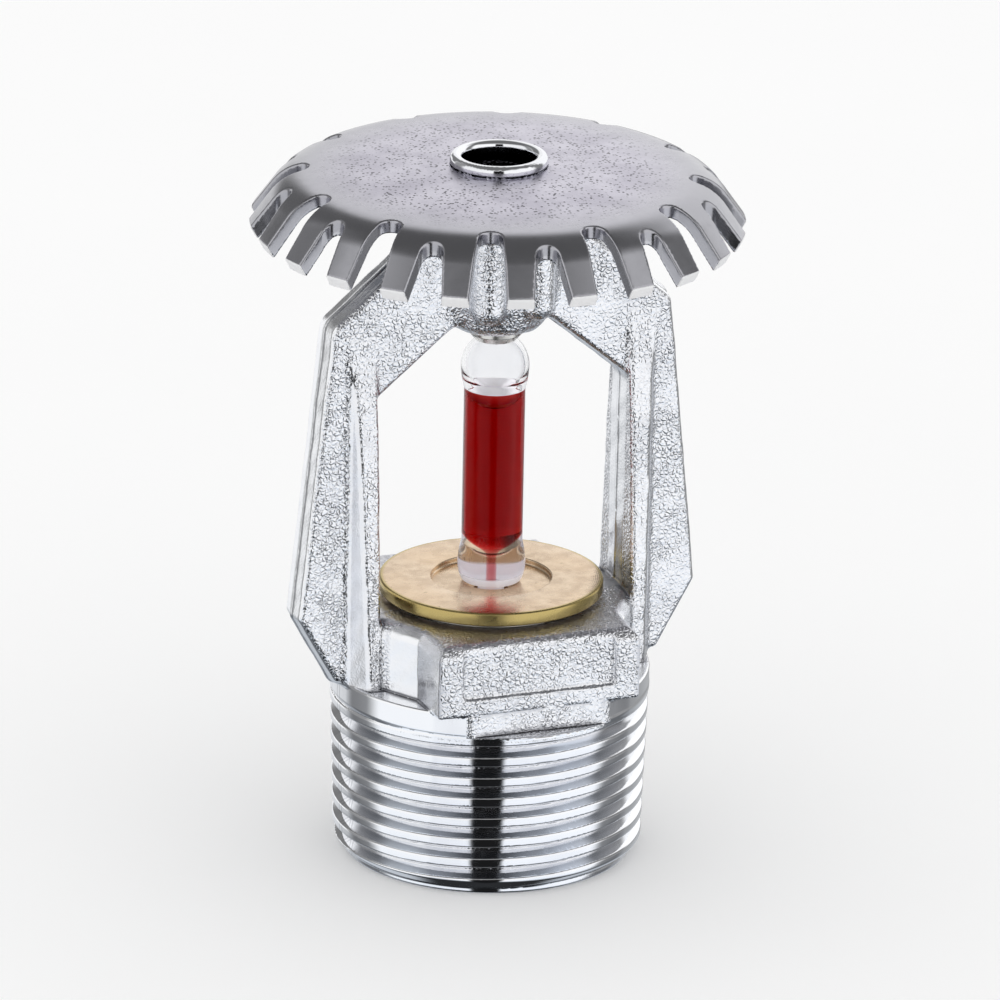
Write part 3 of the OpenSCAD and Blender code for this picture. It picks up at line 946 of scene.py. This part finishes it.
def deflector_look(tree, place, x, y, z, radius):
    """Plated sheet: a satin, speckled dome, smoother tines painted darker as the painted shade of their
    bend, and pale cut tips.
    """
    tine = radius.ramp(10.5, 18.0)
    end = radius * cos(TIP_FACE) - z * sin(TIP_FACE)
    end_plane = TIP_R * cos(TIP_FACE) - tip_height() * sin(TIP_FACE)
    tip = end.ramp(end_plane - 0.12, end_plane - 0.04)
    dome = tine.ramp(1, 0)
    pits = cells(tree, place, 0.34).ramp(0.4, 0.22)
    some = noise(tree, place, 0.6, 2.0).ramp(0.38, 0.54) * dome
    specks = pits * some
    cloud = noise(tree, place, 4.0, 5.0, 0.6)
    satin = patchy(tree, cloud.ramp(0.35, 0.7), SATIN)
    satin = mix(tree, specks * 0.9, satin, SPECK)
    # the tines painted darker outward from the dome, painted shade of the bend
    colour = mix(tree, tine, satin, patchy(tree, cloud, TINE_BEND_SHADE))
    colour = mix(tree, tip, colour, TINE_TIP)
    colour = mix(tree, near(tree, "corner").ramp(0.25, 0.8) * 0.35, colour, TINE_EDGE)
    roughness = dome * 0.1 + tip * 0.3 + noise(tree, place, 0.8, 3.0) * 0.12 + 0.17
    rough_cut = noise(tree, place, 0.4, 3.0) * tip * 3.0
    broad = noise(tree, place, 5.0, 2.0) * 0.5
    height = noise(tree, place, 0.3, 3.0) * dome * 0.7 - specks * 0.6 + broad
    return colour, roughness, bump(tree, height + rough_cut, 0.02), tip * -0.85 + 1


def brass_look(tree, place, x, y, z, radius):
    """Turned brass, pale and blotchy on the face, and on the rim painted darker and yellower as painted
    shade.
    """
    blotch = noise(tree, place, 1.6, 5.0, 0.65)
    broad = noise(tree, place, 6.0, 3.0)
    face = patchy(tree, blotch.ramp(0.35, 0.65), BRASS_FACE)
    face = mix(tree, broad.ramp(0.4, 0.62) * 0.6, face, BRASS_WARM)
    spots = noise(tree, place, 0.7, 4.0, 0.7).ramp(0.62, 0.70)
    face = mix(tree, spots * 0.6, face, BRASS_SPOT)
    rim = radius.ramp(CAP_HIGH[0] - 0.5, CAP_HIGH[0] - 0.15)
    # painted shade on the cap's rim
    colour = mix(tree, rim, face, BRASS_RIM_SHADE)
    turning = (radius * (2 * pi / 0.16)).math("SINE") * 0.5
    height = turning * 0.25 + blotch * 0.6 + spots * -0.4
    roughness = blotch * 0.25 + 0.14
    return colour, roughness, bump(tree, height, 0.012), 1.0


def steel_look(tree, place, x, y, z, radius):
    """Zinc-plated steel with a light film of grease."""
    film = noise(tree, place, 1.1, 4.0)
    colour = patchy(tree, film.ramp(0.4, 0.7), STEEL)
    colour = mix(tree, near(tree, "corner").ramp(0.3, 0.8) * 0.6, colour, STEEL_EDGE)
    roughness = film * 0.3 + 0.12
    return colour, roughness, bump(tree, film, 0.015), 1.0


def spring_look(tree, place, x, y, z, radius):
    """Nickel-plated spring steel with rolling marks."""
    rolled = noise(tree, place, 0.6, 3.0)
    colour = patchy(tree, rolled, NICKEL)
    return colour, rolled * 0.2 + 0.2, bump(tree, rolled, 0.01), 1.0


def film_material():
    """White PTFE film, slightly cloudy."""
    material, tree, output = new_material("ptfe_film")
    place = millimetres(tree)[0]
    cloud = noise(tree, place, 1.2, 4.0)
    colour = patchy(tree, cloud, FILM_WHITE)
    shader = add(
        tree, "ShaderNodeBsdfPrincipled", Base_Color=colour, Roughness=cloud * 0.3 + 0.35,
        Normal=bump(tree, cloud, 0.01)
    )
    show(tree, shader, output)
    return material


def glass_material():
    """The bulb's drawn glass, faintly wavy, and painted white at the melted foot: a painted reflection of
    the light that the glass throws back inside there.

    No light reaches a diffuse surface through glass here, so the painted white glows a little instead, a
    painted glow.
    """
    material, tree, output = new_material("bulb_glass")
    place, x, y, z, radius = millimetres(tree)
    wave = noise(tree, place, 2.5, 2.0)
    tint = patchy(tree, wave, GLASS)
    clear = add(
        tree, "ShaderNodeBsdfPrincipled", Base_Color=tint, Roughness=wave * 0.01, IOR=1.5,
        Transmission_Weight=1.0, Specular_Tint=(0.2, 0.2, 0.2), Normal=bump(tree, wave, 0.01)
    )
    # painted reflection on the foot, glowing a little
    foot_reflection = add(
        tree, "ShaderNodeBsdfPrincipled", Base_Color=FOOT_REFLECTION_WHITE, Roughness=0.3,
        Emission_Color=FOOT_REFLECTION_GLOW, Emission_Strength=0.22
    )
    share = z.ramp(FOOT_REFLECTION_TOP + 0.12, FOOT_REFLECTION_TOP - 0.12) * (wave * 0.1 + 0.8)
    blend = tree.nodes.new("ShaderNodeMixShader")
    for slot_in, value in zip(blend.inputs, (share, clear, foot_reflection)):
        tree.links.new(value.socket, slot_in)
    tree.links.new(blend.outputs[0], output.inputs["Surface"])
    return material


def wetted_material():
    """The bulb's inner wall where the liquid touches it: both bend light alike, so it doesn't show."""
    material, tree, output = new_material("wetted_wall")
    cloud = noise(tree, millimetres(tree)[0], 1.0, 2.0)
    shader = add(tree, "ShaderNodeBsdfTransparent", Color=patchy(tree, cloud, WETTED))
    show(tree, shader, output)
    return material


def liquid_body_material():
    """Dyed glycerine that darkens with depth."""
    material, tree, output = new_material("liquid_body")
    streak = noise(tree, millimetres(tree)[0], 3.0, 2.0)
    shader = add(tree, "ShaderNodeBsdfTransparent", Color=patchy(tree, streak, LIQUID))
    dye = add(tree, "ShaderNodeVolumeAbsorption", Color=DYE, Density=2200.0)
    tree.links.new(dye.socket, output.inputs["Volume"])
    show(tree, shader, output)
    return material


def liquid_surface_material():
    """The liquid's free surface: from above a pale painted reflection that glows a little, from below red
    with painted dark shade in the middle and a painted bright highlight ring.
    """
    material, tree, output = new_material("liquid_surface")
    place, x, y, z, radius = millimetres(tree)
    streak = noise(tree, place, 1.0, 2.0) * 0.1
    # the ring for the painted highlight under the surface
    ring = (radius + streak).ramp(DIMPLE_R - 0.25, DIMPLE_R) * radius.ramp(DIMPLE_R + 0.4, DIMPLE_R + 0.15)
    below = mix(tree, radius.ramp(DIMPLE_R - 0.2, DIMPLE_R), SURFACE_DARK_SHADE, SURFACE_RED)
    below = mix(tree, ring, below, SURFACE_HIGHLIGHT_RING)
    above = patchy(tree, streak, SURFACE_PAINTED_REFLECTION)
    under = add(tree, "ShaderNodeNewGeometry", "Backfacing")
    top = under.ramp(1, 0)
    # the top side glows a little, a painted reflection
    shader = add(
        tree, "ShaderNodeBsdfPrincipled", Base_Color=mix(tree, under, above, below), Metallic=top,
        Roughness=streak + 0.3, Specular_IOR_Level=0.0, Emission_Color=above, Emission_Strength=top * 0.4
    )
    show(tree, shader, output)
    return material


# ---- Pieces ----

def finish_piece(obj, node, body, slot, *materials):
    """Gives a piece its materials, hides its CAD node and attaches it to the body that carries it; the slot
    is not used.
    """
    for material in materials:
        obj.data.materials.append(material)
    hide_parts(node)
    if body:
        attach(obj, body)
    return obj


def ball_profile(z, centre):
    """Radius at height z of one of the bulb's two balls."""
    return np.sqrt(np.maximum(BALL_R ** 2 - (z - centre) ** 2, 0))


def glass_outline():
    """Outside of the bulb: a pip, a ball with a flattened foot, the column and a second ball."""
    low, top = GLASS_LOW[2], GLASS_HIGH[2]
    crown = top - CROWN * np.linspace(0, 1, 14)[1:-1] ** 2
    z = np.sort(np.append(np.linspace(GLASS_FLOOR, top - CROWN, 130), crown))
    balls = np.maximum(ball_profile(z, BALL_LOW_Z), ball_profile(z, BALL_HIGH_Z))
    column = np.where((z > BALL_LOW_Z) & (z < BALL_HIGH_Z), BULB_R, 0)
    middle = (z > BALL_LOW_Z + 0.4) & (z < BALL_HIGH_Z - 0.4)
    waist = smooth_min(smooth_max(balls, column, NECK_BLEND), BALL_R, 0.2)
    r = np.where(middle, waist, np.maximum(balls, column))
    foot_top = GLASS_FLOOR + FLOOR_CURVE
    foot = np.sqrt(np.clip((z - GLASS_FLOOR) / FLOOR_CURVE, 0, 1)) * ball_profile(foot_top, BALL_LOW_Z)
    r = np.where(z < foot_top, foot, r)
    points = [(float(min(a, BALL_R)), float(b)) for a, b in zip(r, z) if a > PIP_R]
    pip = [(0, low), (PIP_R * 0.7, low), (PIP_R, low + 0.3), (PIP_R, points[0][1] - 0.02)]
    return pip + points + [(0, top)]


def hollow_outline(gap, top):
    """Inside of the bulb up to top, less gap all round: a capillary that flares into the hollow."""
    z = np.linspace(CAPILLARY_LOW + gap, top, 120)
    share = np.clip((z - FLARE[0]) / (FLARE[1] - FLARE[0]), 0, 1)
    r = CAPILLARY_R + (HOLLOW_R - CAPILLARY_R) * share * share * (3 - 2 * share) - gap
    return [(0, z[0])] + list(zip(r, z))


def inner_wall():
    """The bulb's inner wall, facing the axis."""
    ball = BALL_R - WALL
    neck = BALL_HIGH_Z - sqrt(ball * ball - HOLLOW_R * HOLLOW_R)
    start = asin((neck - BALL_HIGH_Z) / ball)
    dome = [(ball * cos(a), BALL_HIGH_Z + ball * sin(a)) for a in np.linspace(start, pi / 2, 40)[1:-1]]
    inner = lathe("bulb_inner", hollow_outline(0, neck) + dome + [(0, BALL_HIGH_Z + ball)], 128, 60)
    inner.data.flip_normals()
    return inner


def make_glass():
    outer = lathe("bulb_outer", glass_outline(), 128, 60)
    inner = inner_wall()
    materials = glass_material(), wetted_material()
    for mesh in (outer.data, inner.data):
        for material in materials:
            mesh.materials.append(material)
    for p in inner.data.polygons:
        p.material_index = 0 if p.center.z > LIQUID_TOP * MM else 1
    bpy.ops.object.select_all(action="DESELECT")
    inner.select_set(True)
    outer.select_set(True)
    bpy.context.view_layer.objects.active = outer
    bpy.ops.object.join()
    outer.name = "glass_bulb"
    finish_piece(outer, "bulb_glass", "bulb", "clear_glass")


def make_liquid():
    """The liquid, which just clears the glass, with a hollow free surface."""
    floor = LIQUID_TOP - MENISCUS
    wall = hollow_outline(WALL_GAP, LIQUID_TOP - WALL_GAP)
    rim_r = wall[-1][0]
    surface = [(rim_r * s, LIQUID_TOP - MENISCUS * (1 - s * s)) for s in np.linspace(1, 0, 30)[1:-1]]
    liquid = lathe("red_liquid", wall + surface + [(0, floor)], 128, 60)
    materials = liquid_body_material(), liquid_surface_material()
    finish_piece(liquid, "bulb_liquid", "bulb", "red_liquid", *materials)
    for p in liquid.data.polygons:
        p.material_index = 1 if p.normal.z > 0.02 and p.center.z > (floor - 0.1) * MM else 0


def make_cap():
    """A cap on a neck, with a recess round a cup for the bulb and a hole for its pip."""
    low, top, r = CAP_LOW[2], CAP_HIGH[2], CAP_HIGH[0]
    under = top - CAP_T
    floor = top - RECESS_DEPTH
    seat = BALL_R + WALL_GAP
    points = [
        (0, low), (NECK_R, low), (NECK_R, under), (r, under), (r, top), (RECESS_R, top), (RECESS_R, floor)
    ]
    outline = corner_arcs(points, [0, 0.4, 0.1, 0.22, 0.22, 0.12, 0.2], 4)
    upper = acos((BALL_LOW_Z - floor) / seat)
    lower = asin(PIP_HOLE_R / seat)
    cup = [(seat * sin(a), BALL_LOW_Z - seat * cos(a)) for a in np.linspace(upper, lower, 8)]
    outline = outline + cup + [(PIP_HOLE_R, PIP_HOLE_Z), (0, PIP_HOLE_Z)]
    cap = lathe("valve_cap_turned", outline, 192, 35)
    return finish_piece(cap, "valve_cap", "cap", "brass", metal("brass", brass_look))


def cone_ring(name, node, material, slot):
    """A disc spring or film: a low cone with rounded edges."""
    low, high = node_box(node)
    inner = SPRING_HOLE + (FILM_STEP if node == "seal_film_lower" else 0)
    outer = high[0]
    rise = SPRING_RISE * (outer - inner) / (SPRING_HIGH[0] - SPRING_HOLE)
    thick = high[2] - low[2] - rise
    points = [(inner, low[2] + rise), (outer, low[2]), (outer, low[2] + thick), (inner, high[2])]
    ring = lathe(name, corner_arcs(points, [thick * 0.3] * 4, 3), 128, 50)
    finish_piece(ring, node, None, slot, material)
    return ring


def make_seal():
    """The spring between its two films, all coned rings between the frame's land and the cap."""
    film = film_material()
    rings = [
        cone_ring("disc_spring_plated", "disc_spring", metal("spring", spring_look), "spring_nickel"),
        cone_ring("seal_film_top", "seal_film_upper", film, "ptfe"),
        cone_ring("seal_film_base", "seal_film_lower", film, "ptfe")
    ]
    for ring in rings:
        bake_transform(ring)


def nipple_part(x, y, z):
    return np.maximum(frame_field(x, y, z), z - PART_Z - PART_LAP)


def casting_part(x, y, z):
    return np.maximum(frame_field(x, y, z), PART_Z - PART_LAP - z)


def make_metal_pieces():
    chrome = metal("chrome", chrome_look)
    nipple_high = (SHOULDER_R, SHOULDER_R, PART_Z + PART_LAP)
    nipple_low = (-SHOULDER_R, -SHOULDER_R, 0)
    nipple = sculpt("threaded_nipple", nipple_part, nipple_low, nipple_high, 0.15, 195000, frame_field)
    finish_piece(nipple, "frame", "frame", "chromed_frame", chrome)
    casting_low = (FRAME_LOW[0], FRAME_LOW[1], PART_Z - PART_LAP)
    casting = sculpt("cast_frame", casting_part, casting_low, FRAME_HIGH, 0.18, 195000, frame_field)
    finish_piece(casting, "frame", "frame", "chromed_frame", chrome)
    plate = sculpt("toothed_deflector", deflector_field, DEFLECTOR_LOW, DEFLECTOR_HIGH, 0.18, 150000)
    finish_piece(plate, "deflector", "frame", "deflector_sheet", metal("deflector", deflector_look))
    screw = sculpt("socket_screw", screw_field, SCREW_LOW, SCREW_HIGH, 0.1, 60000)
    finish_piece(screw, "load_screw", "screw", "screw_steel", metal("steel", steel_look))


# ---- Stage ----

def make_floor():
    """White paper. Chrome doesn't reflect it: the studio's lower half stands in for it."""
    half = 3000
    corners = [(-half, -half, 0), (half, -half, 0), (half, half, 0), (-half, half, 0)]
    floor = new_object("floor", corners, [(0, 1, 2, 3)])
    material, tree, output = new_material("floor_paper")
    colour = patchy(tree, noise(tree, millimetres(tree)[0], 60.0, 3.0), PAPER)
    shader = add(tree, "ShaderNodeBsdfDiffuse", Color=colour)
    show(tree, shader, output)
    floor.data.materials.append(material)
    floor.visible_glossy = False


def studio_level(bearing, height):
    """Brightness of the studio as chrome sees it, by bearing from the camera and height, in degrees.

    White in front and behind, with grey sides, a dark slit at the camera, a dark ceiling and a dark table.
    """
    tree = bearing.tree
    away = bearing.unsigned()
    sides = away.ramp(84, 100) * away.ramp(128, 116)
    level = bearing.ramp(-60, 60) * 0.1 + 0.98 - sides * (bearing.ramp(-10, 10) * 0.18 + 0.68)
    right_back = bearing.ramp(90, 105) * height.ramp(-4, -10)
    left_back = bearing.ramp(-118, -128) * bearing.ramp(-170, -158) * height.ramp(2, 10)
    below = away.ramp(12, 45) * 0.24 - sides * 0.16 + away.ramp(120, 165) * 0.3 + 0.08
    below = mix_value(tree, height.ramp(-52, -62), below, 0.03)
    table_edge = away.ramp(60, 115) * 17 - 38
    layers = (
        (right_back, 0.32),
        (left_back, 0.2),
        ((height - table_edge).ramp(6, -6), below),
        (height.ramp(34, 56), 0.16),
        (away.ramp(14, 10) * height.ramp(42, 34), 0.012)
    )
    for share, layer in layers:
        level = mix_value(tree, share, level, layer)
    return level


def make_world():
    """Plain white to the camera and to diffuse surfaces, and patterned in reflections."""
    world = bpy.data.worlds.new("studio")
    bpy.context.scene.world = world
    world.use_nodes = True
    tree = world.node_tree
    tree.nodes.clear()
    output = tree.nodes.new("ShaderNodeOutputWorld")
    place = tree.nodes.new("ShaderNodeTexCoord")
    turn = tree.nodes.new("ShaderNodeVectorRotate")
    turn.rotation_type = "Z_AXIS"
    turn.inputs["Angle"].default_value = -CAMERA_AZIMUTH
    tree.links.new(place.outputs["Generated"], turn.inputs["Vector"])
    split = tree.nodes.new("ShaderNodeSeparateXYZ")
    tree.links.new(turn.outputs[0], split.inputs[0])
    x, y, z = (Value(tree, split.outputs[k]) for k in range(3))
    bearing = x.math("ARCTAN2", y * -1) * (180 / pi)
    height = z.math("ARCSINE") * (180 / pi)
    kinds = ("Is Camera Ray", "Is Diffuse Ray", "Is Transmission Ray")
    plain, *others = [add(tree, "ShaderNodeLightPath", kind) for kind in kinds]
    strength = mix_value(tree, plain.most(*others), studio_level(bearing, height), 1.0)
    tint = mix(tree, height.ramp(-10, -40), (1, 1, 1), SKY_BELOW)
    shader = add(tree, "ShaderNodeBackground", Color=tint, Strength=strength)
    show(tree, shader, output)


def make_camera():
    """A long lens, turned a little about its own axis."""
    data = bpy.data.cameras.new("camera")
    camera = bpy.data.objects.new("camera", data)
    bpy.context.scene.collection.objects.link(camera)
    back = Vector((
        sin(CAMERA_AZIMUTH) * cos(CAMERA_ELEVATION),
        -cos(CAMERA_AZIMUTH) * cos(CAMERA_ELEVATION),
        sin(CAMERA_ELEVATION)
    ))
    camera.rotation_mode = "QUATERNION"
    camera.rotation_quaternion = (-back).to_track_quat("-Z", "Y") @ Quaternion((0, 0, 1), CAMERA_ROLL)
    camera.location = CAMERA_TARGET + back * CAMERA_DISTANCE
    data.sensor_width = 36
    data.lens = CAMERA_LENS
    data.shift_x, data.shift_y = CAMERA_SHIFT
    data.clip_start = 0.05
    data.clip_end = 10
    bpy.context.scene.camera = camera


make_metal_pieces()
make_glass()
make_liquid()
make_cap()
make_seal()
make_floor()
make_world()
make_camera()
bpy.context.scene.view_settings.view_transform = "Standard"
